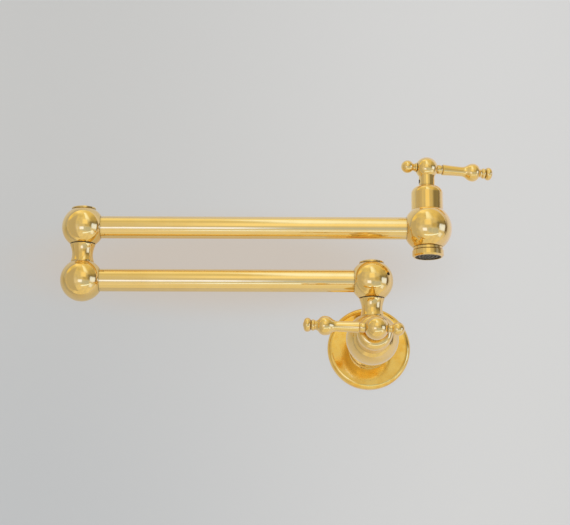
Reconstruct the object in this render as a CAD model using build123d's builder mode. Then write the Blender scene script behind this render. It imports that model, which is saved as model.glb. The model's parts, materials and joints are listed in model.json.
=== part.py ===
from build123d import *
import os
from math import cos, radians, sin, sqrt

os.makedirs("parts", exist_ok=True)

# Wall mounted pot filler with two folding arms and a valve at each end.
# Millimetres. +Z is up, +Y points into the wall and +X to the right. The origin is the centre of
# the flange's back face, on the wall. The arms are folded along the wall, as they hang when unused.

# Arms
arm_standoff = 55.0
lower_arm_length = 257.0
upper_arm_length = 307.5
tube_radius = 10.0
tube_wall = 1.2
tube_insertion = 4.5
tube_seat_width = 0.8
tube_passage_radius = 4.2

# Swivel joints, the same at the wall and at the elbow
joint_ball_radius = 19.0
joint_flat_radius = 11.2
neck_height = 16.7
neck_foot_radius = 10.2
neck_foot_height = 1.8
neck_waist_radius = 9.2
neck_waist_height = 7.8
neck_rim_height = 0.7
post_radius = 7.5
post_bore_radius = 4.2
post_port_radius = 3.0
post_plug_radius = 6.5
post_plug_length = 8.5
post_plug_gap = 0.2
post_end_gap = 0.5
post_bore_over_port = 0.8
stud_radius = 4.0
stud_past_nut = 0.1
chamber_height = 9.4
chamber_depth = 1.7
thrust_washer_thickness = 0.8
swivel_washer_thickness = 0.8
swivel_nut_height = 2.4
swivel_nut_flats = 13.0
cap_recess_radius = 8.9
cap_recess_depth = 4.1
cap_thread_length = 2.6
cap_thread_wall = 1.0
cap_shoulder_width = 0.7
cap_rim_height = 1.1
cap_seam = 0.35
cap_groove = 0.6
cap_crown = 0.6
web_thickness = 1.5
o_ring_radius = 0.9
o_ring_groove_width = 2.3
o_ring_land = 1.0
lower_o_ring_land = 2.5

# Wall flange
flange_radius = 37.7
flange_depth = 7.0
flange_edge_radius = 4.5
flange_shell = 2.2
flange_rim = 3.2
flange_collar_radius = 18.0
flange_collar_length = 13.0
flange_collar_edge = 1.0
wall_seal_width = 3.5
wall_seal_thickness = 1.5
set_screw_radius = 2.0
set_screw_angle = 250.0
set_screw_recess = 0.5
set_screw_from_wall = 14.5

# Wall valve
wall_ball_radius = 23.3
wall_bonnet_radius = 15.5
wall_bonnet_face_width = 2.3
neck_seat_radius = 13.1
tailpiece_radius = 12.5
tailpiece_from_wall = 3.0
inlet_thread_radius = 10.3
inlet_thread_depth = 16.0
inlet_bore_radius = 7.5
wall_lever_tilt = 2.8

# Spout valve and outlet
spout_ball_radius = 21.8
spout_bonnet_radius = 14.3
spout_bonnet_face_width = 0.1
spout_lever_yaw = 12.0
outlet_ring_radius = 13.2
outlet_ring_height = 3.0
outlet_ring_chamfer = 0.4
outlet_thread_radius = 9.5
outlet_bore_radius = 7.5
aerator_radius = 14.1
aerator_height = 5.8
aerator_chamfer = 1.4
aerator_thread_radius = 12.0
aerator_thread_length = 2.4
aerator_lip_height = 0.6
aerator_lip_width = 0.4
aerator_washer_thickness = 1.2
aerator_washer_bore = 8.0
aerator_hole_radius = 1.1
aerator_hole_rings = 3
aerator_hole_pitch = 3.2

# Quarter-turn cartridge, the same in both valves, with heights taken from its seat
seat_depth = 31.3
seat_wall = 2.0
seat_hole_radius = 5.0
seat_seal_thickness = 1.5
cavity_radius = 9.4
sleeve_radius = 8.6
sleeve_bore_radius = 7.3
sleeve_bore_depth = 11.5
window_width = 9.0
window_height = 5.0
cartridge_thread_radius = 10.0
cartridge_thread_start = 17.5
valve_collar_radius = 12.3
valve_collar_top = 30.0
hex_flats = 20.0
hex_height = 3.0
gland_radius = 8.2
gland_height = 7.5
disc_radius = 7.0
fixed_disc_thickness = 2.4
moving_disc_thickness = 2.2
disc_hole_radius = 2.0
disc_hole_offset = 3.7
spindle_radius = 4.0
spindle_foot_radius = 5.5
spindle_foot_height = 3.0
spindle_o_ring_radius = 0.7
spindle_o_ring_pitch = 4.5
spindle_o_ring_slack = 0.15
clip_radius = 6.0
clip_thickness = 0.8
clip_groove_depth = 0.55
clip_mouth = 5.5

# Bonnet and handle, the same shape on both valves
bonnet_top = 48.1
bonnet_roof = 4.8
bonnet_hole_radius = 4.6
hub_radius = 10.2
hub_height = 17.1
skirt_radius = 7.2
hub_bore_past_centre = 2.0
handle_screw_radius = 2.0
handle_screw_height = 4.0
handle_screw_recess = 0.4
screw_key_radius = 1.1
screw_key_depth = 1.4
stud_hole_radius = 3.0
stud_hole_wall = 1.2
lever_seat_radius = 4.4
lever_seat_edge = 0.5
lever_droop = 1.6
lever_collar_radius = 3.9
lever_collar_length = 5.4
lever_collar_swell = 0.4
lever_collar_groove = 0.4
lever_step = 0.5
lever_length = 62.2
lever_root_radius = 5.0
lever_waist_radius = 4.4
lever_waist_at = 33.0
lever_bulb_radius = 8.3
lever_bulb_at = 43.8
lever_bulb_length = 16.4
lever_bulb_rise = 0.45
lever_bulb_fall = 0.6
lever_bead_radius = 4.8
lever_bead_length = 3.4
lever_knob_radius = 6.0
lever_knob_length = 7.6
lever_button_radius = 2.7
lever_button_length = 0.8
finial_distance = 17.9
finial_radius = 5.8
finial_neck_radius = 3.3
finial_collar_radius = 4.1
finial_collar_length = 2.0

# Clearances
swivel_fit = 0.05
axial_play = 0.1
thread_fit = 0.05
seal_fit = 0.03
slip_fit = 0.1
skirt_gap = 0.3
aerator_seam = 0.25

# Small chamfers, and how far a cut runs on past what it cuts
edge_break = 0.3
overrun = 1.0


def flat_height(ball_radius, flat_radius):
    """Height above a ball's centre of the flat whose rim has this radius."""
    return sqrt(ball_radius**2 - flat_radius**2)


def section(frame):
    """Plane through the frame's own axis: X runs outwards, Y runs along the axis."""
    return Plane(origin=frame.origin, x_dir=frame.x_dir, z_dir=-frame.y_dir)


def across(frame):
    """Plane that faces along the frame's X, for tubes, levers and cross holes."""
    return Plane(origin=frame.origin, x_dir=frame.y_dir, z_dir=frame.x_dir)


def centre_line(frame):
    """Turning axis of a frame."""
    return Axis(frame.origin, frame.z_dir)


def drooped(frame):
    """The same frame with its X tipped back towards the valve, as both levers hang a little."""
    return Plane(frame.location * Location((0, 0, 0), (0, lever_droop, 0)))


def s_curve(start, end, share):
    """Two arcs, level at both ends, that meet at this share of the way."""
    middle = Vector(*start) + (Vector(*end) - Vector(*start)) * share
    TangentArc(start, middle, tangent=(1, 0))
    TangentArc(end, middle, tangent=(-1, 0))


def bead(start, end, radius, rise):
    """Round bead that stands proud of a turned neck between two places along it."""
    return ThreePointArc((start, radius), ((start + end) / 2, radius + rise), (end, radius))


# Swivel ball stack, with heights taken from the ball's centre
joint_flat = flat_height(joint_ball_radius, joint_flat_radius)
web_top = joint_flat - cap_recess_depth
web_bottom = web_top - web_thickness
post_top = web_bottom - post_end_gap
post_shoulder = -joint_flat - axial_play - thrust_washer_thickness
neck_foot = post_shoulder - neck_height
neck_rim_radius = joint_flat_radius - slip_fit
ball_bore_radius = post_radius + swivel_fit
ball_chamber_radius = ball_bore_radius + chamber_depth
swivel_washer_bottom = web_top + axial_play
swivel_nut_bottom = swivel_washer_bottom + swivel_washer_thickness
swivel_nut_radius = swivel_nut_flats / sqrt(3)
stud_top = swivel_nut_bottom + swivel_nut_height + stud_past_nut
o_ring_centre = ball_bore_radius - seal_fit - o_ring_radius
o_ring_groove_radius = o_ring_centre - o_ring_radius - seal_fit
upper_o_ring = post_top - o_ring_land - o_ring_groove_width / 2
post_bore_top = post_port_radius + post_bore_over_port
cap_rim_radius = joint_flat_radius - cap_seam
cap_rim_bottom = joint_flat + cap_groove
cap_shoulder_radius = cap_recess_radius + cap_shoulder_width
lower_o_ring = -chamber_height / 2 - lower_o_ring_land - o_ring_groove_width / 2
tube_socket_radius = tube_radius + thread_fit
tube_seat_radius = tube_radius + tube_seat_width
joint_tube_seat = flat_height(joint_ball_radius, tube_seat_radius)
joint_tube_end = joint_tube_seat - tube_insertion
spout_tube_seat = flat_height(spout_ball_radius, tube_seat_radius)
spout_tube_end = spout_tube_seat - tube_insertion

# Heights of the two arms above the wall valve's axis
neck_seat = flat_height(wall_ball_radius, neck_seat_radius)
lower_arm_height = neck_seat - neck_foot
upper_arm_height = lower_arm_height + joint_flat - neck_foot
spout_x = upper_arm_length - lower_arm_length

# Frames of the joints: Z is the turning axis and X points along the tube or the lever
wall_swivel = Plane(origin=(0, -arm_standoff, lower_arm_height), x_dir=(-1, 0, 0), z_dir=(0, 0, 1))
elbow_lower = Plane(
    origin=(-lower_arm_length, -arm_standoff, lower_arm_height), x_dir=(1, 0, 0), z_dir=(0, 0, 1)
)
elbow_swivel = Plane(
    origin=(-lower_arm_length, -arm_standoff, upper_arm_height), x_dir=(1, 0, 0), z_dir=(0, 0, 1)
)
wall_valve = Plane(
    origin=(0, -arm_standoff, 0),
    x_dir=(-cos(radians(wall_lever_tilt)), 0, sin(radians(wall_lever_tilt))),
    z_dir=(0, -1, 0),
)
spout_ball = Plane(origin=(spout_x, -arm_standoff, upper_arm_height), x_dir=(-1, 0, 0), z_dir=(0, 0, 1))
spout_valve = Plane(
    origin=spout_ball.origin,
    x_dir=(cos(radians(spout_lever_yaw)), sin(radians(spout_lever_yaw)), 0),
    z_dir=(0, 0, 1),
)
wall_seat = wall_valve.offset(wall_ball_radius - seat_depth)
spout_seat = spout_valve.offset(spout_ball_radius - seat_depth)
wall_ball_centre = seat_depth - wall_ball_radius
spout_ball_centre = seat_depth - spout_ball_radius
wall_bonnet_base = wall_ball_centre + flat_height(wall_ball_radius, wall_bonnet_radius)
spout_bonnet_base = spout_ball_centre + flat_height(spout_ball_radius, spout_bonnet_radius)

# Cartridge and handle stack, with heights taken from the seat
sleeve_top = seat_seal_thickness + sleeve_bore_depth
moving_disc_bottom = seat_seal_thickness + fixed_disc_thickness + axial_play / 2
spindle_bottom = moving_disc_bottom + moving_disc_thickness
window_centre = spindle_bottom + window_height / 2
spindle_bore_radius = spindle_radius + swivel_fit
hex_radius = hex_flats / sqrt(3)
gland_top = valve_collar_top + hex_height + gland_height
clip_bottom = gland_top + axial_play
clip_groove_radius = spindle_radius - clip_groove_depth
spindle_o_ring_centre = spindle_bore_radius - seal_fit - spindle_o_ring_radius
spindle_groove_radius = spindle_o_ring_centre - spindle_o_ring_radius - seal_fit
spindle_groove_width = 2 * (spindle_o_ring_radius + spindle_o_ring_slack)
spindle_o_rings = [sleeve_top + spindle_o_ring_pitch, sleeve_top + 2 * spindle_o_ring_pitch]
bonnet_bore_radius = valve_collar_radius + thread_fit
bonnet_ceiling = bonnet_top - bonnet_roof
skirt_bottom = bonnet_top + skirt_gap
hub_centre = bonnet_top + hub_height
skirt_top = hub_centre - flat_height(hub_radius, skirt_radius)
spindle_top = hub_centre + hub_bore_past_centre - axial_play
stud_end = spindle_bore_radius + stud_hole_wall
lever_seat = flat_height(hub_radius, lever_seat_radius)
handle_screw_at = skirt_bottom + handle_screw_height
stud_radius_in_hub = stud_hole_radius - thread_fit
lever_root = lever_seat + lever_collar_length
bulb_end = lever_bulb_at + lever_bulb_length / 2
knob_centre = lever_length - lever_knob_length / 2
bead_end = bulb_end + lever_bead_length
lever_bead_rise = lever_bead_radius - lever_collar_radius
finial_ball_start = flat_height(finial_radius, finial_neck_radius) - finial_distance
finial_collar_end = -lever_seat - finial_collar_length
finial_collar_rise = finial_collar_radius - finial_neck_radius
wall_hub = drooped(wall_seat.offset(hub_centre))
spout_hub = drooped(spout_seat.offset(hub_centre))

# Flange, with distances taken from the wall along the valve's axis
flange_frame = Plane(origin=(0, 0, 0), x_dir=(1, 0, 0), z_dir=(0, -1, 0))
collar_end = flange_depth + flange_collar_length
collar_bore_radius = tailpiece_radius + slip_fit
hollow_radius = flange_radius - flange_rim
screw_direction = (cos(radians(set_screw_angle)), 0, sin(radians(set_screw_angle)))
screw_frame = Plane(origin=(0, -set_screw_from_wall, 0), x_dir=screw_direction, z_dir=(0, -1, 0))

# Outlet, with heights taken down from the spout ball's centre
outlet_flat = -flat_height(spout_ball_radius, outlet_ring_radius)
outlet_top = spout_ball_radius - seat_depth - seat_wall
outlet_ring_bottom = outlet_flat - outlet_ring_height
aerator_top = outlet_ring_bottom - aerator_seam
aerator_bottom = aerator_top - aerator_height
aerator_lip_top = aerator_bottom + aerator_lip_height
aerator_thread_end = outlet_ring_bottom - aerator_thread_length
aerator_washer_bottom = aerator_thread_end - aerator_washer_thickness
aerator_bore_radius = aerator_thread_radius + thread_fit

# ---------------------------------------------------------------------------------------------
# Wall flange

with BuildPart() as escutcheon:
    with BuildSketch(section(flange_frame)):
        with BuildLine():
            face = Polyline(
                (flange_radius - flange_edge_radius, flange_depth),
                (flange_collar_radius, flange_depth),
                (flange_collar_radius, collar_end),
                (collar_bore_radius, collar_end),
                (collar_bore_radius, flange_depth - flange_shell),
                (hollow_radius, flange_depth - flange_shell),
                (hollow_radius, 0),
                (flange_radius, 0),
                (flange_radius, flange_depth - flange_edge_radius),
            )
            TangentArc(face @ 1, face @ 0, tangent=(0, 1))
        make_face()
    revolve(axis=centre_line(flange_frame))
    fillet(
        escutcheon.edges().filter_by(GeomType.CIRCLE).filter_by(
            lambda edge: round(edge.radius, 2) == flange_collar_radius
        ),
        radius=flange_collar_edge,
    )
    with BuildSketch(across(screw_frame)):
        Circle(set_screw_radius + thread_fit)
    extrude(amount=flange_collar_radius + overrun, mode=Mode.SUBTRACT)
escutcheon.part.label = "escutcheon"
export_step(escutcheon.part, "parts/escutcheon.step")

with BuildPart() as escutcheon_seal:
    with BuildSketch(flange_frame):
        Circle(hollow_radius - slip_fit)
        Circle(hollow_radius - slip_fit - wall_seal_width, mode=Mode.SUBTRACT)
    extrude(amount=wall_seal_thickness)
escutcheon_seal.part.label = "escutcheon_seal"
export_step(escutcheon_seal.part, "parts/escutcheon_seal.step")

with BuildPart() as escutcheon_set_screw:
    with BuildSketch(across(screw_frame).offset(tailpiece_radius)):
        Circle(set_screw_radius)
    extrude(amount=flange_collar_radius - set_screw_recess - tailpiece_radius)
    chamfer(escutcheon_set_screw.edges(), length=edge_break)
    with BuildSketch(across(screw_frame).offset(flange_collar_radius - set_screw_recess)):
        RegularPolygon(radius=screw_key_radius, side_count=6)
    extrude(amount=-screw_key_depth, mode=Mode.SUBTRACT)
escutcheon_set_screw.part.label = "escutcheon_set_screw"
export_step(escutcheon_set_screw.part, "parts/escutcheon_set_screw.step")

# ---------------------------------------------------------------------------------------------
# Wall valve body: a ball with a tailpiece at the back and a threaded seat for the neck on top

tail_end = wall_ball_centre - arm_standoff + tailpiece_from_wall
inlet_thread_end = tail_end + inlet_thread_depth

with BuildPart() as wall_valve_body:
    with BuildSketch(section(wall_seat)):
        with BuildLine():
            ball = ThreePointArc(
                (tailpiece_radius, wall_ball_centre - flat_height(wall_ball_radius, tailpiece_radius)),
                (wall_ball_radius, wall_ball_centre),
                (wall_bonnet_radius, wall_bonnet_base),
            )
            Polyline(
                ball @ 1,
                (valve_collar_radius, wall_bonnet_base),
                (valve_collar_radius, valve_collar_top),
                (cartridge_thread_radius + thread_fit, valve_collar_top),
                (cartridge_thread_radius + thread_fit, cartridge_thread_start),
                (cavity_radius, cartridge_thread_start),
                (cavity_radius, 0),
                (seat_hole_radius, 0),
                (seat_hole_radius, -seat_wall),
                (inlet_bore_radius, -seat_wall),
                (inlet_bore_radius, inlet_thread_end),
                (inlet_thread_radius, inlet_thread_end),
                (inlet_thread_radius, tail_end),
                (tailpiece_radius, tail_end),
                ball @ 0,
            )
        make_face()
    revolve(axis=centre_line(wall_seat))
    with BuildSketch(wall_swivel.offset(neck_foot)):
        Circle(neck_seat_radius + overrun)
    extrude(amount=wall_ball_radius, mode=Mode.SUBTRACT)
    with BuildSketch(wall_swivel.offset(neck_foot)):
        Circle(post_plug_radius + thread_fit)
    extrude(amount=-post_plug_length - post_plug_gap, mode=Mode.SUBTRACT)
    with BuildSketch(wall_swivel.offset(neck_foot)):
        Circle(post_bore_radius)
    extrude(amount=-neck_seat, mode=Mode.SUBTRACT)
wall_valve_body.part.label = "wall_valve_body"
export_step(wall_valve_body.part, "parts/wall_valve_body.step")

# ---------------------------------------------------------------------------------------------
# Swivel joints: neck and post, seals, washers, nut, ball and cap

for side, swivel in {"wall": wall_swivel, "elbow": elbow_swivel}.items():
    with BuildPart() as swivel_post:
        with BuildSketch(section(swivel)):
            with BuildLine():
                waist = (neck_waist_radius, neck_foot + neck_waist_height)
                foot = Polyline(
                    (post_bore_radius, neck_foot - post_plug_length),
                    (post_plug_radius, neck_foot - post_plug_length),
                    (post_plug_radius, neck_foot),
                    (neck_foot_radius, neck_foot),
                    (neck_foot_radius, neck_foot + neck_foot_height),
                )
                TangentArc(waist, foot @ 1, tangent=(0, -1))
                flare = TangentArc(waist, (neck_rim_radius, post_shoulder - neck_rim_height), tangent=(0, 1))
                shoulder = Polyline(flare @ 1, (neck_rim_radius, post_shoulder), (post_radius, post_shoulder))
                lower_groove = Polyline(
                    shoulder @ 1,
                    (post_radius, lower_o_ring - o_ring_groove_width / 2),
                    (o_ring_groove_radius, lower_o_ring - o_ring_groove_width / 2),
                    (o_ring_groove_radius, lower_o_ring + o_ring_groove_width / 2),
                    (post_radius, lower_o_ring + o_ring_groove_width / 2),
                )
                upper_groove = Polyline(
                    lower_groove @ 1,
                    (post_radius, upper_o_ring - o_ring_groove_width / 2),
                    (o_ring_groove_radius, upper_o_ring - o_ring_groove_width / 2),
                    (o_ring_groove_radius, upper_o_ring + o_ring_groove_width / 2),
                    (post_radius, upper_o_ring + o_ring_groove_width / 2),
                )
                Polyline(
                    upper_groove @ 1,
                    (post_radius, post_top),
                    (stud_radius, post_top),
                    (stud_radius, stud_top),
                    (0, stud_top),
                    (0, post_bore_top),
                    (post_bore_radius, post_bore_top),
                    foot @ 0,
                )
            make_face()
        revolve(axis=centre_line(swivel))
        with BuildSketch(section(swivel), across(swivel)):
            Circle(post_port_radius)
        extrude(amount=post_radius + overrun, both=True, mode=Mode.SUBTRACT)
    swivel_post.part.label = f"{side}_swivel_post"
    export_step(swivel_post.part, f"parts/{side}_swivel_post.step")

    with BuildPart() as swivel_o_rings:
        with BuildSketch(section(swivel)):
            with Locations((o_ring_centre, lower_o_ring), (o_ring_centre, upper_o_ring)):
                Circle(o_ring_radius)
        revolve(axis=centre_line(swivel))
    swivel_o_rings.part.label = f"{side}_swivel_o_rings"
    export_step(swivel_o_rings.part, f"parts/{side}_swivel_o_rings.step")

    with BuildPart() as thrust_washer:
        with BuildSketch(swivel.offset(post_shoulder)):
            Circle(joint_flat_radius - cap_seam)
            Circle(post_radius + slip_fit, mode=Mode.SUBTRACT)
        extrude(amount=thrust_washer_thickness)
    thrust_washer.part.label = f"{side}_thrust_washer"
    export_step(thrust_washer.part, f"parts/{side}_thrust_washer.step")

    with BuildPart() as swivel_washer:
        with BuildSketch(swivel.offset(swivel_washer_bottom)):
            Circle(swivel_nut_radius)
            Circle(stud_radius + slip_fit, mode=Mode.SUBTRACT)
        extrude(amount=swivel_washer_thickness)
    swivel_washer.part.label = f"{side}_swivel_washer"
    export_step(swivel_washer.part, f"parts/{side}_swivel_washer.step")

    with BuildPart() as swivel_nut:
        with BuildSketch(swivel.offset(swivel_nut_bottom)):
            RegularPolygon(radius=swivel_nut_radius, side_count=6)
            Circle(stud_radius + thread_fit, mode=Mode.SUBTRACT)
        extrude(amount=swivel_nut_height)
    swivel_nut.part.label = f"{side}_swivel_nut"
    export_step(swivel_nut.part, f"parts/{side}_swivel_nut.step")

    with BuildPart() as joint_ball:
        with BuildSketch(section(swivel)):
            with BuildLine():
                shell = ThreePointArc(
                    (joint_flat_radius, -joint_flat), (joint_ball_radius, 0), (joint_flat_radius, joint_flat)
                )
                Polyline(
                    shell @ 1,
                    (cap_recess_radius + thread_fit, joint_flat),
                    (cap_recess_radius + thread_fit, web_top),
                    (stud_radius + slip_fit, web_top),
                    (stud_radius + slip_fit, web_bottom),
                    (ball_bore_radius, web_bottom),
                    (ball_bore_radius, chamber_height / 2),
                    (ball_chamber_radius, chamber_height / 2),
                    (ball_chamber_radius, -chamber_height / 2),
                    (ball_bore_radius, -chamber_height / 2),
                    (ball_bore_radius, -joint_flat),
                    shell @ 0,
                )
            make_face()
        revolve(axis=centre_line(swivel))
        with BuildSketch(across(swivel).offset(joint_tube_seat)):
            Circle(tube_seat_radius + overrun)
        extrude(amount=joint_ball_radius, mode=Mode.SUBTRACT)
        with BuildSketch(across(swivel).offset(joint_tube_end)):
            Circle(tube_socket_radius)
        extrude(amount=joint_ball_radius, mode=Mode.SUBTRACT)
        with BuildSketch(across(swivel).offset(ball_bore_radius - overrun)):
            Circle(tube_passage_radius)
        extrude(amount=joint_ball_radius, mode=Mode.SUBTRACT)
    joint_ball.part.label = f"{side}_joint_ball"
    export_step(joint_ball.part, f"parts/{side}_joint_ball.step")

    with BuildPart() as joint_cap:
        with BuildSketch(section(swivel)):
            with BuildLine():
                crown = TangentArc(
                    (0, joint_ball_radius + cap_crown),
                    (cap_rim_radius, cap_rim_bottom + cap_rim_height),
                    tangent=(1, 0),
                )
                Polyline(
                    crown @ 1,
                    (cap_rim_radius, cap_rim_bottom),
                    (cap_shoulder_radius, cap_rim_bottom),
                    (cap_shoulder_radius, joint_flat),
                    (cap_recess_radius, joint_flat),
                    (cap_recess_radius, joint_flat - cap_thread_length),
                    (cap_recess_radius - cap_thread_wall, joint_flat - cap_thread_length),
                    (cap_recess_radius - cap_thread_wall, cap_rim_bottom),
                    (0, cap_rim_bottom),
                    crown @ 0,
                )
            make_face()
        revolve(axis=centre_line(swivel))
    joint_cap.part.label = f"{side}_joint_cap"
    export_step(joint_cap.part, f"parts/{side}_joint_cap.step")

# ---------------------------------------------------------------------------------------------
# Elbow's lower ball, with the water way from the tube up into the neck

with BuildPart(elbow_lower) as elbow_lower_ball:
    Sphere(radius=joint_ball_radius)
    with BuildSketch(elbow_lower.offset(joint_flat)):
        Circle(joint_flat_radius + overrun)
    extrude(amount=joint_ball_radius, mode=Mode.SUBTRACT)
    with BuildSketch(across(elbow_lower).offset(joint_tube_seat)):
        Circle(tube_seat_radius + overrun)
    extrude(amount=joint_ball_radius, mode=Mode.SUBTRACT)
    with BuildSketch(across(elbow_lower).offset(joint_tube_end)):
        Circle(tube_socket_radius)
    extrude(amount=joint_ball_radius, mode=Mode.SUBTRACT)
    with BuildSketch(across(elbow_lower).offset(-tube_passage_radius)):
        Circle(tube_passage_radius)
    extrude(amount=joint_ball_radius, mode=Mode.SUBTRACT)
    with BuildSketch(elbow_lower):
        Circle(post_bore_radius)
    extrude(amount=joint_flat, mode=Mode.SUBTRACT)
    with BuildSketch(elbow_lower.offset(joint_flat - post_plug_length - post_plug_gap)):
        Circle(post_plug_radius + thread_fit)
    extrude(amount=joint_ball_radius, mode=Mode.SUBTRACT)
elbow_lower_ball.part.label = "elbow_lower_ball"
export_step(elbow_lower_ball.part, "parts/elbow_lower_ball.step")

# ---------------------------------------------------------------------------------------------
# Tubes

with BuildPart() as lower_arm_tube:
    with BuildSketch(across(wall_swivel).offset(joint_tube_end)):
        Circle(tube_radius)
        Circle(tube_radius - tube_wall, mode=Mode.SUBTRACT)
    extrude(amount=lower_arm_length - 2 * joint_tube_end)
lower_arm_tube.part.label = "lower_arm_tube"
export_step(lower_arm_tube.part, "parts/lower_arm_tube.step")

with BuildPart() as upper_arm_tube:
    with BuildSketch(across(elbow_swivel).offset(joint_tube_end)):
        Circle(tube_radius)
        Circle(tube_radius - tube_wall, mode=Mode.SUBTRACT)
    extrude(amount=upper_arm_length - joint_tube_end - spout_tube_end)
upper_arm_tube.part.label = "upper_arm_tube"
export_step(upper_arm_tube.part, "parts/upper_arm_tube.step")

# ---------------------------------------------------------------------------------------------
# Spout valve body: a ball with the tube at its side and the outlet thread below the seat

with BuildPart() as spout_valve_body:
    with BuildSketch(section(spout_seat)):
        with BuildLine():
            ball = ThreePointArc(
                (outlet_ring_radius, spout_ball_centre + outlet_flat),
                (spout_ball_radius, spout_ball_centre),
                (spout_bonnet_radius, spout_bonnet_base),
            )
            Polyline(
                ball @ 1,
                (valve_collar_radius, spout_bonnet_base),
                (valve_collar_radius, valve_collar_top),
                (cartridge_thread_radius + thread_fit, valve_collar_top),
                (cartridge_thread_radius + thread_fit, cartridge_thread_start),
                (cavity_radius, cartridge_thread_start),
                (cavity_radius, 0),
                (seat_hole_radius, 0),
                (seat_hole_radius, -seat_wall),
                (outlet_thread_radius + thread_fit, -seat_wall),
                (outlet_thread_radius + thread_fit, spout_ball_centre + outlet_flat),
                ball @ 0,
            )
        make_face()
    revolve(axis=centre_line(spout_seat))
    with BuildSketch(across(spout_ball).offset(spout_tube_seat)):
        Circle(tube_seat_radius + overrun)
    extrude(amount=spout_ball_radius, mode=Mode.SUBTRACT)
    with BuildSketch(across(spout_ball).offset(spout_tube_end)):
        Circle(tube_socket_radius)
    extrude(amount=spout_ball_radius, mode=Mode.SUBTRACT)
    with BuildSketch(across(spout_ball).offset(cavity_radius - overrun)):
        Circle(tube_passage_radius)
    extrude(amount=spout_ball_radius, mode=Mode.SUBTRACT)
spout_valve_body.part.label = "spout_valve_body"
export_step(spout_valve_body.part, "parts/spout_valve_body.step")

# ---------------------------------------------------------------------------------------------
# Outlet and aerator

with BuildPart() as outlet_nipple:
    with BuildSketch(section(spout_ball)):
        with BuildLine():
            Polyline(
                (outlet_bore_radius, outlet_top - axial_play),
                (outlet_thread_radius, outlet_top - axial_play),
                (outlet_thread_radius, outlet_flat),
                (outlet_ring_radius, outlet_flat),
                (outlet_ring_radius, outlet_ring_bottom),
                (aerator_thread_radius, outlet_ring_bottom),
                (aerator_thread_radius, aerator_thread_end),
                (outlet_bore_radius, aerator_thread_end),
                close=True,
            )
        make_face()
    revolve(axis=centre_line(spout_ball))
    ring_edges = outlet_nipple.edges().filter_by(GeomType.CIRCLE).group_by(SortBy.RADIUS)[-1]
    chamfer(ring_edges, length=outlet_ring_chamfer)
outlet_nipple.part.label = "outlet_nipple"
export_step(outlet_nipple.part, "parts/outlet_nipple.step")

with BuildPart() as aerator_washer:
    with BuildSketch(spout_ball.offset(aerator_washer_bottom)):
        Circle(aerator_thread_radius - slip_fit)
        Circle(aerator_washer_bore, mode=Mode.SUBTRACT)
    extrude(amount=aerator_washer_thickness)
aerator_washer.part.label = "aerator_washer"
export_step(aerator_washer.part, "parts/aerator_washer.step")

with BuildPart() as aerator_housing:
    with BuildSketch(section(spout_ball)):
        with BuildLine():
            Polyline(
                (aerator_bore_radius, aerator_top),
                (aerator_radius, aerator_top),
                (aerator_radius, aerator_bottom + aerator_chamfer),
                (aerator_radius - aerator_chamfer, aerator_bottom),
                (aerator_bore_radius - aerator_lip_width, aerator_bottom),
                (aerator_bore_radius - aerator_lip_width, aerator_lip_top),
                (aerator_bore_radius, aerator_lip_top),
                close=True,
            )
        make_face()
    revolve(axis=centre_line(spout_ball))
    chamfer(aerator_housing.edges().group_by(Axis.Z)[-1].sort_by(SortBy.RADIUS)[-1], length=edge_break)
aerator_housing.part.label = "aerator_housing"
export_step(aerator_housing.part, "parts/aerator_housing.step")

with BuildPart() as aerator_insert:
    with BuildSketch(spout_ball.offset(aerator_lip_top)):
        Circle(aerator_thread_radius - slip_fit)
        Circle(aerator_hole_radius, mode=Mode.SUBTRACT)
        for ring in range(1, aerator_hole_rings + 1):
            with PolarLocations(ring * aerator_hole_pitch, 6 * ring):
                Circle(aerator_hole_radius, mode=Mode.SUBTRACT)
    extrude(amount=aerator_washer_bottom - aerator_lip_top)
aerator_insert.part.label = "aerator_insert"
export_step(aerator_insert.part, "parts/aerator_insert.step")

# ---------------------------------------------------------------------------------------------
# Cartridge, bonnet and handle of each valve

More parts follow.
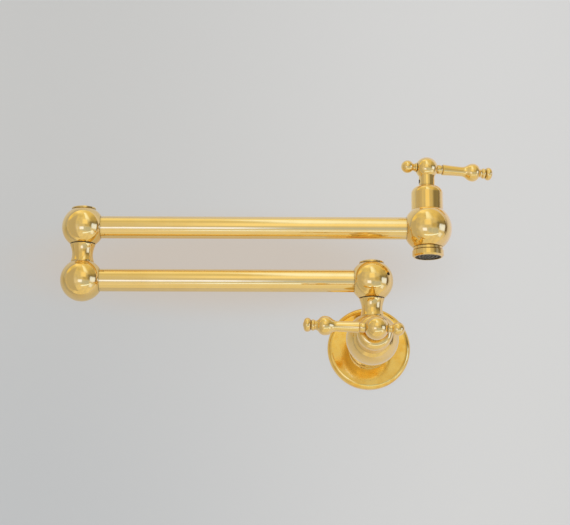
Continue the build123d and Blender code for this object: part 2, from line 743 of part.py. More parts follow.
valves = {
    "wall": (wall_seat, wall_hub, wall_bonnet_radius, wall_bonnet_base, wall_bonnet_face_width),
    "spout": (spout_seat, spout_hub, spout_bonnet_radius, spout_bonnet_base, spout_bonnet_face_width),
}
for side, (seat, hub, bonnet_radius, bonnet_base, face_width) in valves.items():
    with BuildPart() as seat_seal:
        with BuildSketch(seat):
            Circle(sleeve_radius)
            Circle(seat_hole_radius + slip_fit, mode=Mode.SUBTRACT)
        extrude(amount=seat_seal_thickness)
    seat_seal.part.label = f"{side}_seat_seal"
    export_step(seat_seal.part, f"parts/{side}_seat_seal.step")

    with BuildPart() as cartridge:
        with BuildSketch(section(seat)):
            with BuildLine():
                Polyline(
                    (sleeve_bore_radius, seat_seal_thickness),
                    (sleeve_radius, seat_seal_thickness),
                    (sleeve_radius, cartridge_thread_start),
                    (cartridge_thread_radius, cartridge_thread_start),
                    (cartridge_thread_radius, valve_collar_top),
                    (gland_radius, valve_collar_top),
                    (gland_radius, gland_top),
                    (spindle_bore_radius, gland_top),
                    (spindle_bore_radius, sleeve_top),
                    (sleeve_bore_radius, sleeve_top),
                    close=True,
                )
            make_face()
        revolve(axis=centre_line(seat))
        with BuildSketch(seat.offset(valve_collar_top)):
            RegularPolygon(radius=hex_radius, side_count=6)
            Circle(spindle_bore_radius, mode=Mode.SUBTRACT)
        extrude(amount=hex_height)
        with BuildSketch(section(seat)):
            with Locations((0, window_centre)):
                Rectangle(window_width, window_height)
        extrude(amount=cavity_radius, both=True, mode=Mode.SUBTRACT)
    cartridge.part.label = f"{side}_cartridge"
    export_step(cartridge.part, f"parts/{side}_cartridge.step")

    with BuildPart() as fixed_disc:
        with BuildSketch(seat.offset(seat_seal_thickness)):
            Circle(disc_radius)
            with Locations((0, disc_hole_offset), (0, -disc_hole_offset)):
                Circle(disc_hole_radius, mode=Mode.SUBTRACT)
        extrude(amount=fixed_disc_thickness)
    fixed_disc.part.label = f"{side}_fixed_disc"
    export_step(fixed_disc.part, f"parts/{side}_fixed_disc.step")

    with BuildPart() as moving_disc:
        with BuildSketch(seat.offset(moving_disc_bottom)):
            Circle(disc_radius)
            with Locations((disc_hole_offset, 0), (-disc_hole_offset, 0)):
                Circle(disc_hole_radius, mode=Mode.SUBTRACT)
        extrude(amount=moving_disc_thickness)
    moving_disc.part.label = f"{side}_moving_disc"
    export_step(moving_disc.part, f"parts/{side}_moving_disc.step")

    with BuildPart() as spindle:
        with BuildSketch(seat.offset(spindle_bottom)):
            Circle(spindle_foot_radius)
        extrude(amount=spindle_foot_height)
        with BuildSketch(seat.offset(spindle_bottom)):
            Circle(spindle_radius)
        extrude(amount=spindle_top - spindle_bottom)
        with BuildSketch(section(seat)):
            for height in spindle_o_rings:
                with Locations((spindle_groove_radius, height)):
                    Rectangle(spindle_radius, spindle_groove_width, align=(Align.MIN, Align.CENTER))
            with Locations((clip_groove_radius, clip_bottom - axial_play / 2)):
                Rectangle(spindle_radius, clip_thickness + axial_play, align=(Align.MIN, Align.MIN))
        revolve(axis=centre_line(seat), mode=Mode.SUBTRACT)
    spindle.part.label = f"{side}_spindle"
    export_step(spindle.part, f"parts/{side}_spindle.step")

    with BuildPart() as spindle_o_ring_pair:
        with BuildSketch(section(seat)):
            for height in spindle_o_rings:
                with Locations((spindle_o_ring_centre, height)):
                    Circle(spindle_o_ring_radius)
        revolve(axis=centre_line(seat))
    spindle_o_ring_pair.part.label = f"{side}_spindle_o_rings"
    export_step(spindle_o_ring_pair.part, f"parts/{side}_spindle_o_rings.step")

    with BuildPart() as spindle_clip:
        with BuildSketch(seat.offset(clip_bottom)):
            Circle(clip_radius)
            Circle(clip_groove_radius + seal_fit, mode=Mode.SUBTRACT)
            Rectangle(
                clip_radius + overrun, clip_mouth, align=(Align.MIN, Align.CENTER), mode=Mode.SUBTRACT
            )
        extrude(amount=clip_thickness)
    spindle_clip.part.label = f"{side}_spindle_clip"
    export_step(spindle_clip.part, f"parts/{side}_spindle_clip.step")

    with BuildPart() as bonnet:
        with BuildSketch(section(seat)):
            with BuildLine():
                rim = (skirt_radius + face_width, bonnet_top)
                shoulder = (bonnet_radius, bonnet_top - (bonnet_radius - rim[0]))
                TangentArc(shoulder, rim, tangent=(0, 1))
                Polyline(
                    rim,
                    (bonnet_hole_radius, bonnet_top),
                    (bonnet_hole_radius, bonnet_ceiling),
                    (bonnet_bore_radius, bonnet_ceiling),
                    (bonnet_bore_radius, bonnet_base),
                    (bonnet_radius, bonnet_base),
                    shoulder,
                )
            make_face()
        revolve(axis=centre_line(seat))
    bonnet.part.label = f"{side}_bonnet"
    export_step(bonnet.part, f"parts/{side}_bonnet.step")

    with BuildPart() as handle_hub:
        with BuildSketch(section(seat)):
            with BuildLine():
                crown = ThreePointArc(
                    (skirt_radius, skirt_top), (hub_radius, hub_centre), (0, hub_centre + hub_radius)
                )
                Polyline(
                    crown @ 1,
                    (0, hub_centre + hub_bore_past_centre),
                    (spindle_bore_radius, hub_centre + hub_bore_past_centre),
                    (spindle_bore_radius, skirt_bottom),
                    (skirt_radius, skirt_bottom),
                    crown @ 0,
                )
            make_face()
        revolve(axis=centre_line(seat))
        with BuildSketch(across(hub).offset(lever_seat)):
            Circle(lever_seat_radius + lever_seat_edge)
        extrude(amount=hub_radius, mode=Mode.SUBTRACT)
        with BuildSketch(across(hub).offset(-lever_seat)):
            Circle(lever_seat_radius + lever_seat_edge)
        extrude(amount=-hub_radius, mode=Mode.SUBTRACT)
        with BuildSketch(across(hub).offset(stud_end - slip_fit)):
            Circle(stud_hole_radius)
        extrude(amount=hub_radius, mode=Mode.SUBTRACT)
        with BuildSketch(across(hub).offset(slip_fit - stud_end)):
            Circle(stud_hole_radius)
        extrude(amount=-hub_radius, mode=Mode.SUBTRACT)
        with BuildSketch(across(seat.offset(handle_screw_at))):
            Circle(handle_screw_radius)
        extrude(amount=-hub_radius, mode=Mode.SUBTRACT)
    handle_hub.part.label = f"{side}_handle_hub"
    export_step(handle_hub.part, f"parts/{side}_handle_hub.step")

    with BuildPart() as handle_screw:
        with BuildSketch(across(seat.offset(handle_screw_at)).offset(-spindle_radius)):
            Circle(handle_screw_radius - thread_fit)
        extrude(amount=spindle_radius + handle_screw_recess - skirt_radius)
        with BuildSketch(across(seat.offset(handle_screw_at)).offset(handle_screw_recess - skirt_radius)):
            RegularPolygon(radius=screw_key_radius, side_count=6)
        extrude(amount=screw_key_depth, mode=Mode.SUBTRACT)
    handle_screw.part.label = f"{side}_handle_screw"
    export_step(handle_screw.part, f"parts/{side}_handle_screw.step")

    with BuildPart() as lever:
        with BuildSketch(section(hub)):
            with BuildLine():
                stud = Polyline(
                    (stud_end, 0),
                    (stud_end, stud_radius_in_hub),
                    (lever_seat, stud_radius_in_hub),
                    (lever_seat, lever_collar_radius),
                )
                collar = bead(
                    lever_seat, lever_root - lever_collar_groove, lever_collar_radius, lever_collar_swell
                )
                root = Polyline(
                    collar @ 1,
                    (lever_root, lever_collar_radius),
                    (lever_root, lever_root_radius - lever_step),
                    (lever_root + lever_step, lever_root_radius),
                )
                TangentArc((lever_waist_at, lever_waist_radius), root @ 1, tangent=(-1, 0))
                s_curve(
                    (lever_waist_at, lever_waist_radius), (lever_bulb_at, lever_bulb_radius), lever_bulb_rise
                )
                s_curve(
                    (lever_bulb_at, lever_bulb_radius), (bulb_end, lever_collar_radius), lever_bulb_fall
                )
                ring = bead(bulb_end, bead_end, lever_collar_radius, lever_bead_rise)
                TangentArc((knob_centre, lever_knob_radius), ring @ 1, tangent=(-1, 0))
                knob_edge = TangentArc(
                    (knob_centre, lever_knob_radius),
                    (lever_length - lever_button_length, lever_button_radius),
                    tangent=(1, 0),
                )
                TangentArc((lever_length, 0), knob_edge @ 1, tangent=(0, 1))
                Line((lever_length, 0), stud @ 0)
            make_face()
        revolve(axis=Axis(hub.origin, hub.x_dir))
    lever.part.label = f"{side}_lever"
    export_step(lever.part, f"parts/{side}_lever.step")

    with BuildPart() as finial:
        with BuildSketch(section(hub)):
            with BuildLine():
                neck = Polyline(
                    (-stud_end, 0),
                    (-stud_end, stud_radius_in_hub),
                    (-lever_seat, stud_radius_in_hub),
                    (-lever_seat, finial_neck_radius),
                )
                collar = bead(-lever_seat, finial_collar_end, finial_neck_radius, finial_collar_rise)
                shank = Line(collar @ 1, (finial_ball_start, finial_neck_radius))
                ball = ThreePointArc(
                    shank @ 1, (-finial_distance, finial_radius), (-finial_distance - finial_radius, 0)
                )
                Line(ball @ 1, neck @ 0)
            make_face()
        revolve(axis=Axis(hub.origin, hub.x_dir))
    finial.part.label = f"{side}_finial"
    export_step(finial.part, f"parts/{side}_finial.step")
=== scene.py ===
import json
from math import cos, radians, sin, tan
from typing import NamedTuple

import bpy
from mathutils import Matrix, Vector

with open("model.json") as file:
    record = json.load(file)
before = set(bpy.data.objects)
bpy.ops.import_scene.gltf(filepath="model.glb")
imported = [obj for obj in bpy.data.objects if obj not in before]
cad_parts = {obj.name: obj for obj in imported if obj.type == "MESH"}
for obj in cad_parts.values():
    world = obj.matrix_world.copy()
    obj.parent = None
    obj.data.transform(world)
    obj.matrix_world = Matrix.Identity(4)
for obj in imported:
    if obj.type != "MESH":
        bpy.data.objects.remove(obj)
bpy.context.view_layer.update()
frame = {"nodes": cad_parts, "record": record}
scene = bpy.context.scene
scene.view_settings.view_transform = "Standard"

# ---------------------------------------------------------------------------------------------
# Camera: a long lens a little below the arms, tilted up at them

CAMERA_PLACE = (-0.084713, -1.359748, -0.219293)
PITCH, YAW, ROLL = radians(12.453), radians(0.341), radians(0.13)
FOCAL_PIXELS, IMAGE_WIDTH = 1503.387, 570.0
SENSOR_WIDTH = 36.0


def place_camera():
    forward = Vector((sin(YAW) * cos(PITCH), cos(YAW) * cos(PITCH), sin(PITCH)))
    level_right = Vector((cos(YAW), -sin(YAW), 0.0))
    level_up = level_right.cross(forward)
    right = level_right * cos(ROLL) + level_up * sin(ROLL)
    up = level_up * cos(ROLL) - level_right * sin(ROLL)
    lens = bpy.data.cameras.new("camera")
    lens.sensor_width = SENSOR_WIDTH
    lens.lens = FOCAL_PIXELS / IMAGE_WIDTH * SENSOR_WIDTH
    lens.clip_start, lens.clip_end = 0.05, 20.0
    camera = bpy.data.objects.new("camera", lens)
    scene.collection.objects.link(camera)
    turn = Matrix((right, up, -forward)).transposed().to_4x4()
    camera.matrix_world = Matrix.Translation(CAMERA_PLACE) @ turn
    scene.camera = camera


place_camera()


# ---------------------------------------------------------------------------------------------
# Small helpers for node trees


class Tree:
    """Adds nodes to a material's or a world's tree and links values or sockets into them."""

    def __init__(self, owner):
        owner.use_nodes = True
        self.tree = owner.node_tree
        self.tree.nodes.clear()

    def add(self, kind, inputs=None, **settings):
        node = self.tree.nodes.new(kind)
        for name, value in settings.items():
            setattr(node, name, value)
        for key, value in (inputs or {}).items():
            self.put(node.inputs[key], value)
        return node

    def put(self, socket, value):
        if isinstance(value, bpy.types.NodeSocket):
            self.tree.links.new(value, socket)
        elif socket.type == "RGBA":
            socket.default_value = (*value, 1.0)
        else:
            socket.default_value = value

    def math(self, operation, a, b=0.0, c=0.0):
        return self.add("ShaderNodeMath", {0: a, 1: b, 2: c}, operation=operation).outputs[0]

    def vector(self, operation, a, b=(0.0, 0.0, 0.0)):
        node = self.add("ShaderNodeVectorMath", {0: a, 1: b}, operation=operation)
        return node.outputs["Value" if operation in ("DOT_PRODUCT", "LENGTH") else "Vector"]

    def mix(self, share, a, b):
        return self.add("ShaderNodeMix", {0: share, 6: a, 7: b}, data_type="RGBA").outputs[2]

    def steps(self, value, low, high, at_low=0.0, at_high=1.0):
        inputs = {0: value, 1: low, 2: high, 3: at_low, 4: at_high}
        return self.add("ShaderNodeMapRange", inputs, interpolation_type="SMOOTHSTEP").outputs[0]

    def noise(self, place, scale, detail, roughness=0.5):
        inputs = {"Vector": place, "Scale": scale, "Detail": detail, "Roughness": roughness}
        return self.add("ShaderNodeTexNoise", inputs).outputs

    def bump(self, height, strength, distance):
        inputs = {"Height": height, "Strength": strength, "Distance": distance}
        return self.add("ShaderNodeBump", inputs).outputs[0]

    def ramp(self, value, stops):
        node = self.add("ShaderNodeValToRGB", {0: value})
        elements = node.color_ramp.elements
        while len(elements) > 1:
            elements.remove(elements[-1])
        elements[0].position, elements[0].color = stops[0][0], (*stops[0][1], 1.0)
        for place, colour in stops[1:]:
            elements.new(place).color = (*colour, 1.0)
        return node.outputs[0]

    def coordinates(self, output="Object", **settings):
        return self.add("ShaderNodeTexCoord", **settings).outputs[output]

    def rays(self):
        return self.add("ShaderNodeLightPath").outputs

    def emission(self, colour, strength=1.0):
        return self.add("ShaderNodeEmission", {"Color": colour, "Strength": strength}).outputs[0]

    def clear(self):
        return self.add("ShaderNodeBsdfTransparent").outputs[0]

    def blend(self, share, under, over):
        return self.add("ShaderNodeMixShader", {0: share, 1: under, 2: over}).outputs[0]

    def show(self, shader):
        self.add("ShaderNodeOutputMaterial", {"Surface": shader})


def new_material(name):
    material = bpy.data.materials.new(name)
    return material, Tree(material)


# ---------------------------------------------------------------------------------------------
# World: the soft light of a kitchen, which the polished metal mirrors. Angles are in degrees, with
# azimuth 0 straight out from the wall and 90 to the right. The camera sees plain pale grey.


class RoomPart(NamedTuple):
    """A soft-edged rectangle of the room, in degrees."""

    azimuth: float
    elevation: float
    half_width: float
    half_height: float
    soft: float
    colour: tuple


# from straight down at 0 to straight up at 1, by the sine of the elevation
ROOM_BY_HEIGHT = [
    (0.00, (0.78, 0.72, 0.60)),
    (0.12, (0.80, 0.75, 0.69)),
    (0.29, (0.70, 0.66, 0.62)),
    (0.50, (0.64, 0.61, 0.57)),
    (0.79, (0.74, 0.68, 0.54)),
    (0.90, (0.78, 0.71, 0.48)),
    (0.965, (1.02, 0.95, 0.72)),
    (0.992, (1.03, 0.93, 0.64)),
    (1.00, (1.00, 0.97, 0.82)),
]
# each lies over the ones before it
ROOM_PARTS = {
    "left side of the room": RoomPart(-74.0, -8.0, 32.0, 48.0, 14.0, (0.59, 0.54, 0.49)),
    "ceiling over the window": RoomPart(90.0, 66.0, 46.0, 22.0, 20.0, (0.80, 0.69, 0.40)),
    "shaded wall over the window": RoomPart(90.0, 28.0, 40.0, 24.0, 20.0, (0.48, 0.42, 0.27)),
    "yellow light far to the left": RoomPart(-94.0, 46.0, 24.0, 17.0, 9.0, (0.90, 0.75, 0.36)),
    "beam on the left": RoomPart(-40.0, 54.0, 26.0, 9.0, 8.0, (0.70, 0.63, 0.44)),
    "glow round the lamp": RoomPart(-32.0, -12.0, 14.0, 13.0, 10.0, (0.76, 0.74, 0.84)),
    "cupboard": RoomPart(26.0, 4.0, 11.0, 9.0, 7.0, (0.53, 0.46, 0.30)),
    "dark reveal round the window": RoomPart(66.0, 7.0, 28.0, 15.0, 9.0, (0.26, 0.24, 0.20)),
    "worktop in the window's shade": RoomPart(24.0, -22.0, 27.0, 12.0, 6.0, (0.56, 0.62, 0.82)),
    "window light on the worktop": RoomPart(67.0, -31.0, 9.0, 8.0, 4.0, (0.95, 1.08, 1.70)),
    "curtain": RoomPart(90.0, 4.0, 5.0, 20.0, 4.0, (0.14, 0.11, 0.09)),
    "window": RoomPart(67.5, -1.0, 15.5, 11.5, 3.5, (0.88, 1.10, 2.20)),
}
RIPPLE, RIPPLE_SCALE = 0.16, 5.5
CLUTTER_SCALE = 4.2
CLUTTER_DIM, CLUTTER_BRIGHT = (0.93, 0.94, 0.96), (1.07, 1.055, 1.01)
SEEN_GREY = (0.62, 0.62, 0.61)


def rippled(t, direction):
    """The direction, bent a little here and there, so that no mirrored edge is ruler straight."""
    wave = t.vector("SUBTRACT", t.noise(direction, RIPPLE_SCALE, 2.0)["Color"], (0.5, 0.5, 0.5))
    wave = t.vector("MULTIPLY", wave, (RIPPLE, RIPPLE, RIPPLE))
    return t.vector("NORMALIZE", t.vector("ADD", direction, wave))


def share_of(t, direction, part):
    """1 inside this part of the room, 0 outside it."""
    a, e, blur = radians(part.azimuth), radians(part.elevation), tan(radians(part.soft))
    middle = Vector((sin(a) * cos(e), -cos(a) * cos(e), sin(e)))
    level = Vector((cos(a), sin(a), 0.0))
    rise = level.cross(-middle)
    towards = t.vector("DOT_PRODUCT", direction, middle)
    front = t.math("MAXIMUM", towards, 0.001)
    share = t.steps(towards, 0.0, 0.05)
    for axis, half in ((level, part.half_width), (rise, part.half_height)):
        aside = t.vector("DOT_PRODUCT", direction, axis)
        reach = t.math("ABSOLUTE", t.math("DIVIDE", aside, front))
        edge = tan(radians(half))
        share = t.math("MULTIPLY", share, t.steps(reach, edge - blur, edge + blur, 1.0, 0.0))
    return share


def kitchen_light():
    world = bpy.data.worlds.new("kitchen_light")
    t = Tree(world)
    direction = rippled(t, t.coordinates("Generated"))
    height = t.add("ShaderNodeSeparateXYZ", {0: direction}).outputs["Z"]
    room = t.ramp(t.math("MULTIPLY_ADD", height, 0.5, 0.5), ROOM_BY_HEIGHT)
    for part in ROOM_PARTS.values():
        room = t.mix(share_of(t, direction, part), room, part.colour)
    clutter = t.steps(t.noise(direction, CLUTTER_SCALE, 3.0)[0], 0.36, 0.64)
    room = t.vector("MULTIPLY", room, t.mix(clutter, CLUTTER_DIM, CLUTTER_BRIGHT))
    seen = t.mix(t.rays()["Is Camera Ray"], room, SEEN_GREY)
    background = t.add("ShaderNodeBackground", {"Color": seen, "Strength": 1.0})
    t.add("ShaderNodeOutputWorld", {"Surface": background.outputs[0]})
    return world


scene.world = kitchen_light()


# ---------------------------------------------------------------------------------------------
# Stage: the wall that the tap hangs on, a floor well below it, and soft lit cards near the tap
# that only the metal's reflections see


def sheet(name, corners):
    mesh = bpy.data.meshes.new(name)
    mesh.from_pydata(corners, [], [(0, 1, 2, 3)])
    obj = bpy.data.objects.new(name, mesh)
    scene.collection.objects.link(obj)
    return obj


def upright(name, y, corners):
    return sheet(name, [(x, y, z) for x, z in corners])


STAGE_SIDE, FLOOR_FRONT, FLOOR_HEIGHT, WALL_TOP = 2.5, -3.0, -0.9, 2.0
WALL_PLACE = 0.0004  # just behind the flange's back
# how much of what the camera sees is the stage's own even tone; the rest is lit and holds the shadow
EVEN_SHARE = 0.80
WHITE = (1.0, 1.0, 1.0)

# the wall's tone, left and right, low and high, with painted light: darker low and to the left, lighter to
# the right
WALL_PAINTED_LIGHT_LOW = (0.512, 0.524, 0.535), (0.650, 0.654, 0.655)
WALL_PAINTED_LIGHT_HIGH = (0.555, 0.557, 0.552), (0.655, 0.657, 0.656)
WALL_STRENGTH = 1.13
# painted light and shade on the wall round the arms: where it centres, how it is squeezed, and its warm
# tone
PAINTED_GLOW_CENTRE, PAINTED_GLOW_SQUEEZE, PAINTED_GLOW_TONE = (-0.13, 0.0, 0.078), (1.05, 1.0, 4.4), (0.590, 0.520, 0.452)

# painted light and shade in the wall's reflection: how much lighter or darker the metal mirrors the wall
# than it is seen, from its lowest place to its highest
MIRRORED_LOWEST, MIRRORED_HEIGHT = -0.10, 0.52
MIRRORED_PAINTED_LIGHT_BY_HEIGHT = [
    (0.00, (1.09, 1.01, 1.03)),
    (0.13, (1.05, 1.00, 1.04)),
    (0.21, (1.00, 0.92, 0.80)),
    (0.36, (0.99, 0.87, 0.68)),
    (0.44, (1.07, 1.02, 0.93)),
    (0.61, (1.10, 1.09, 1.20)),
    (1.00, (1.08, 1.06, 1.23)),
]
# painted light: the wall's reflection is lighter and bluer to the right
MIRRORED_PAINTED_LIGHT_RIGHT = (1.13, 1.09, 1.32)
# painted shade in the wall's reflection, and a painted dark reflection of a curtain
MIRRORED_SHADE, MIRRORED_PAINTED_CURTAIN = (0.76, 0.77, 0.80), (0.20, 0.16, 0.12)


def painted_arm_glow(t):
    """Painted light and shade: the warm glow and shade that the brass throws on the wall, painted into the
    wall's tone and measured in the lower arm's own frame so that it follows the arm.
    """
    beside = t.coordinates(object=frame["nodes"]["lower_arm_tube"])
    away = t.vector("MULTIPLY", t.vector("SUBTRACT", beside, PAINTED_GLOW_CENTRE), PAINTED_GLOW_SQUEEZE)
    return t.steps(t.vector("LENGTH", away), 0.08, 0.26, 0.80, 0.0)


def wall_tone_and_painted_light(t, x, z):
    # painted light: the wall grows lighter to the right and upwards
    sideways = t.steps(x, -0.34, 0.14)
    upwards = t.steps(z, -0.22, 0.26)
    tone = t.mix(upwards, t.mix(sideways, *WALL_PAINTED_LIGHT_LOW), t.mix(sideways, *WALL_PAINTED_LIGHT_HIGH))
    # the painted glow and shade of the brass is mixed into the wall's tone
    return t.mix(painted_arm_glow(t), tone, PAINTED_GLOW_TONE)


def right_band(t, x, z, start, bottom, top):
    """1 to the right of start and from bottom to top; each is the pair of places that it fades between."""
    share = t.math("MULTIPLY", t.steps(x, *start), t.steps(z, *bottom))
    return t.math("MULTIPLY", share, t.steps(z, *top, 1.0, 0.0))


def painted_wall_reflection(t, x, z):
    """Painted light and shade in the wall's reflection: what the wall's tone is multiplied by where the
    metal mirrors it.
    """
    climb = t.math("MULTIPLY_ADD", z, 1.0 / MIRRORED_HEIGHT, -MIRRORED_LOWEST / MIRRORED_HEIGHT)
    light = t.ramp(climb, MIRRORED_PAINTED_LIGHT_BY_HEIGHT)
    light = t.mix(t.steps(x, 0.05, 0.14), light, MIRRORED_PAINTED_LIGHT_RIGHT)
    # painted shade in the wall's reflection, far to the right and far to the left
    far_right = right_band(t, x, z, (0.18, 0.36), (-0.04, 0.08), (0.30, 0.50))
    far_left = t.steps(x, -0.55, -0.35, 1.0, 0.0)
    shade = t.mix(t.math("MAXIMUM", far_right, far_left), WHITE, MIRRORED_SHADE)
    # painted reflection: a dark band that only the metal sees, standing for a dark curtain beside the wall
    curtain = right_band(t, x, z, (0.42, 0.60), (-0.20, -0.12), (0.34, 0.48))
    return t.vector("MULTIPLY", light, t.mix(curtain, shade, MIRRORED_PAINTED_CURTAIN))


def wall_paint():
    """Matt paint with a fine grain, its tone carrying painted light and shade, and the metal seeing a
    painted reflection of it; from behind it is clear.
    """
    material, t = new_material("wall_paint")
    spot = t.coordinates()
    axes = t.add("ShaderNodeSeparateXYZ", {0: spot}).outputs
    x, z = axes["X"], axes["Z"]
    rays = t.rays()
    tone = wall_tone_and_painted_light(t, x, z)
    grain = t.bump(t.noise(spot, 900.0, 3.0)[0], 0.04, 0.0004)
    lit = t.add("ShaderNodeBsdfDiffuse", {"Color": tone, "Normal": grain}).outputs[0]
    # painted reflection: glossy rays see the wall's tone multiplied by its painted light and shade
    mirrored = t.mix(rays["Is Glossy Ray"], WHITE, painted_wall_reflection(t, x, z))
    own = t.emission(t.vector("MULTIPLY", tone, mirrored), WALL_STRENGTH)
    straight = t.math("MAXIMUM", rays["Is Camera Ray"], rays["Is Glossy Ray"])
    face = t.blend(t.math("MULTIPLY", straight, EVEN_SHARE), lit, own)
    behind = t.add("ShaderNodeNewGeometry").outputs["Backfacing"]
    t.show(t.blend(behind, face, t.clear()))
    return material


def floor_paint():
    """Plain pale paint, a little uneven, that the metal doesn't mirror."""
    material, t = new_material("floor_paint")
    rays = t.rays()
    tone = t.mix(t.noise(t.coordinates(), 14.0, 3.0)[0], (0.66, 0.66, 0.655), (0.70, 0.70, 0.695))
    lit = t.add("ShaderNodeBsdfDiffuse", {"Color": tone}).outputs[0]
    face = t.blend(t.math("MULTIPLY", rays["Is Camera Ray"], EVEN_SHARE), lit, t.emission(tone))
    t.show(t.blend(rays["Is Glossy Ray"], face, t.clear()))
    return material


left, right = -STAGE_SIDE, STAGE_SIDE
wall_corners = [(left, FLOOR_HEIGHT), (right, FLOOR_HEIGHT), (right, WALL_TOP), (left, WALL_TOP)]
wall = upright("wall", WALL_PLACE, wall_corners)
wall.data.materials.append(wall_paint())
floor_corners = [(left, FLOOR_FRONT), (right, FLOOR_FRONT), (right, WALL_PLACE), (left, WALL_PLACE)]
floor = sheet("floor", [(x, y, FLOOR_HEIGHT) for x, y in floor_corners])
floor.data.materials.append(floor_paint())


class Card(NamedTuple):
    """A lit card at y that fades out over these shares of its width and height; it may lean sideways."""

    left: float
    right: float
    bottom: float
    top: float
    y: float
    colour: tuple
    fades: tuple  # left, right, bottom, top
    lean: float = 0.0


CARDS = {
    "warm_card": Card(-0.34, 0.30, 0.085, 0.72, -0.90, (1.01, 0.91, 0.66), (0.35, 0.30, 0.25, 0.25)),
    "low_lamp": Card(-0.56, -0.04, -0.40, -0.02, -1.02, (1.08, 1.28, 2.50), (0.30, 0.25, 0.32, 0.32)),
    "tall_light": Card(-0.09, 0.38, 0.32, 2.40, -0.63, (1.06, 1.17, 1.42), (0.16, 0.72, 0.15, 0.35), -0.20),
    "front_edge": Card(-0.28, 0.95, -0.50, -0.345, -0.60, (1.07, 1.34, 2.10), (0.10, 0.20, 0.35, 0.35)),
    "dark_left": Card(-1.60, -0.38, -0.85, 0.66, -0.30, (0.53, 0.49, 0.46), (0.10, 0.06, 0.10, 0.20)),
}


def faded(t, place, near_fade, far_fade):
    return t.math("MULTIPLY", t.steps(place, 0.0, near_fade), t.steps(place, 1.0 - far_fade, 1.0, 1.0, 0.0))


def card_light(name, card):
    material, t = new_material(name)
    place = t.add("ShaderNodeSeparateXYZ", {0: t.coordinates("UV")}).outputs
    share = t.math("MULTIPLY", faded(t, place["X"], *card.fades[:2]), faded(t, place["Y"], *card.fades[2:]))
    share = t.math("MULTIPLY", share, t.rays()["Is Glossy Ray"])
    t.show(t.blend(share, t.clear(), t.emission(card.colour)))
    return material


for name, card in CARDS.items():
    corners = [(card.left, card.bottom), (card.right, card.bottom)]
    corners += [(card.right + card.lean, card.top), (card.left + card.lean, card.top)]
    obj = upright(name, card.y, corners)
    obj.data.uv_layers.new()
    obj.data.materials.append(card_light(name, card))


# ---------------------------------------------------------------------------------------------
# Materials of the tap


class Finish(NamedTuple):
    """A brass finish; cloud is the scale of its uneven patches and mottle how strong they are."""

    colour: tuple
    deep: tuple
    roughness: float
    grain: tuple = (1.0, 1.0, 1.0)
    cloud: float = 38.0
    mottle: float = 0.45
    bump: float = 0.02
    lacquer: float = 1.0


CAST = Finish((0.955, 0.69, 0.225), (0.88, 0.56, 0.13), 0.065)
TUBING = Finish((0.965, 0.72, 0.27), (0.91, 0.63, 0.19), 0.08, grain=(0.03, 1.0, 1.0))
SPUN = Finish((1.00, 0.69, 0.16), (0.94, 0.53, 0.05), 0.09, cloud=95.0, mottle=0.90, bump=0.045)
MACHINED = Finish((0.80, 0.62, 0.33), (0.66, 0.46, 0.20), 0.26, bump=0.05, lacquer=0.0)

# what pits keep of a finish's deep colour, and what the painted shade in crevices keeps of it
PIT_KEEPS, CREVICE_SHADE_KEEPS = (0.70, 0.62, 0.50), (0.26, 0.24, 0.20)
CREVICE_REACH = 0.0024
PIT_SCALE, SMEAR_SCALE, LINE_SCALE, WAVE_SCALE = 260.0, 120.0, 1500.0, 55.0
WAVE_TO_LINE = 6.0
LACQUER_ROUGHNESS, LACQUER_IOR = 0.04, 1.5


def darker(colour, keeps):
    return tuple(part * kept for part, kept in zip(colour, keeps))


def brass_colour(t, spot, shaded_crevice, finish):
    """Uneven patches, fine pits, and painted shade that darkens the crevices."""
    cloud = t.noise(spot, finish.cloud, 5.0, 0.6)[0]
    patches = t.steps(cloud, 0.38, 0.72, 0.0, finish.mottle)
    dots = t.add("ShaderNodeTexVoronoi", {"Vector": spot, "Scale": PIT_SCALE, "Randomness": 1.0})
    pits = t.steps(dots.outputs["Distance"], 0.04, 0.10, 0.35, 0.0)
    surface = t.mix(patches, finish.colour, finish.deep)
    surface = t.mix(pits, surface, darker(finish.deep, PIT_KEEPS))
    return t.mix(shaded_crevice, surface, darker(finish.deep, CREVICE_SHADE_KEEPS))


def brass_gloss(t, spot, shaded_crevice, roughness):
    """Smears in the polish, and duller crevices."""
    smear = t.noise(spot, SMEAR_SCALE, 4.0, 0.55)[0]
    rough = t.steps(smear, 0.35, 0.75, roughness * 0.7, roughness * 1.5)
    return t.math("MULTIPLY_ADD", shaded_crevice, 0.3, rough)


def brass_relief(t, spot, finish):
    """Fine lines, drawn out along the grain, on slow waves."""
    lines = t.noise(t.vector("MULTIPLY", spot, finish.grain), LINE_SCALE, 2.0)[0]
    waves = t.noise(spot, WAVE_SCALE, 1.0)[0]
    return t.bump(t.math("MULTIPLY_ADD", waves, WAVE_TO_LINE, lines), finish.bump, 0.0004)


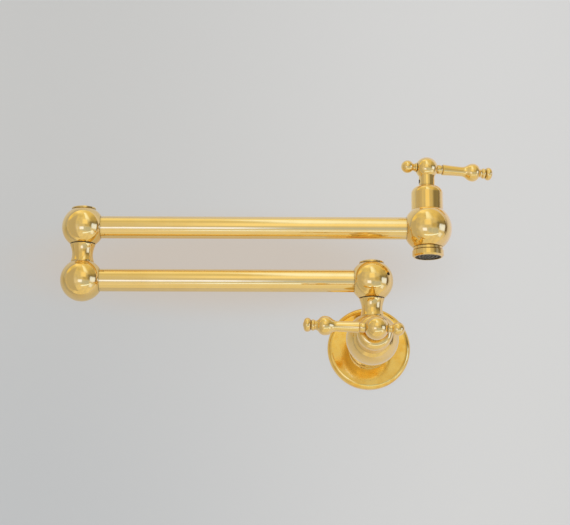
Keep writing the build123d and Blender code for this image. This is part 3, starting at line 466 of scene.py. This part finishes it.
def brass(name, finish):
    material, t = new_material(name)
    spot = t.coordinates()
    # painted shade: darker where ambient occlusion finds parts close by, in the crevices and seams
    nook = t.add("ShaderNodeAmbientOcclusion", {"Distance": CREVICE_REACH}, samples=8, only_local=False)
    shaded_crevice = t.steps(nook.outputs["AO"], 0.42, 0.96, 0.95, 0.0)
    shader = t.add(
        "ShaderNodeBsdfPrincipled",
        {
            "Base Color": brass_colour(t, spot, shaded_crevice, finish),
            "Metallic": 1.0,
            "Roughness": brass_gloss(t, spot, shaded_crevice, finish.roughness),
            "Normal": brass_relief(t, spot, finish),
            "Coat Weight": finish.lacquer,
            "Coat Roughness": LACQUER_ROUGHNESS,
            "Coat IOR": LACQUER_IOR,
        },
    )
    t.show(shader.outputs[0])
    return material


CLOUD_SCALE, FINE_SCALE = 300.0, 2400.0


def plain_stuff(name, colour, second, roughness, metallic=0.0):
    """Rubber, plastic, ceramic or steel: a little uneven in tone, in gloss and to the touch."""
    material, t = new_material(name)
    spot = t.coordinates()
    cloud = t.noise(spot, CLOUD_SCALE, 4.0)[0]
    fine = t.noise(spot, FINE_SCALE, 3.0)[0]
    shader = t.add(
        "ShaderNodeBsdfPrincipled",
        {
            "Base Color": t.mix(t.steps(cloud, 0.3, 0.7), colour, second),
            "Metallic": metallic,
            "Roughness": t.steps(cloud, 0.3, 0.75, roughness * 0.8, roughness * 1.25),
            "Normal": t.bump(fine, 0.05, 0.0003),
        },
    )
    t.show(shader.outputs[0])
    return material


cast = brass("polished_brass", CAST)
tubing = brass("polished_brass_tube", TUBING)
spun = brass("polished_brass_flange", SPUN)
machined = brass("plain_brass", MACHINED)
steel = plain_stuff("steel_hardware", (0.30, 0.28, 0.26), (0.16, 0.15, 0.14), 0.32, metallic=1.0)
seal = plain_stuff("rubber_seal", (0.022, 0.022, 0.022), (0.040, 0.038, 0.036), 0.62)
bearing = plain_stuff("plastic_bearing", (0.036, 0.022, 0.010), (0.062, 0.040, 0.018), 0.50)
ceramic = plain_stuff("ceramic", (0.84, 0.82, 0.78), (0.90, 0.88, 0.85), 0.16)
insert = plain_stuff("plastic_insert", (0.006, 0.006, 0.007), (0.014, 0.014, 0.016), 0.30)

by_slot = {
    "polished_brass": cast,
    "plain_brass": machined,
    "steel_hardware": steel,
    "rubber_seal": seal,
    "plastic_bearing": bearing,
    "ceramic": ceramic,
    "plastic_insert": insert,
}
by_node = {"lower_arm_tube": tubing, "upper_arm_tube": tubing, "escutcheon": spun}
slots = {part["node"]: part["material_slot"] for part in frame["record"]["subparts"]}
for name, node in frame["nodes"].items():
    node.data.materials.clear()
    node.data.materials.append(by_node.get(name) or by_slot[slots[name]])
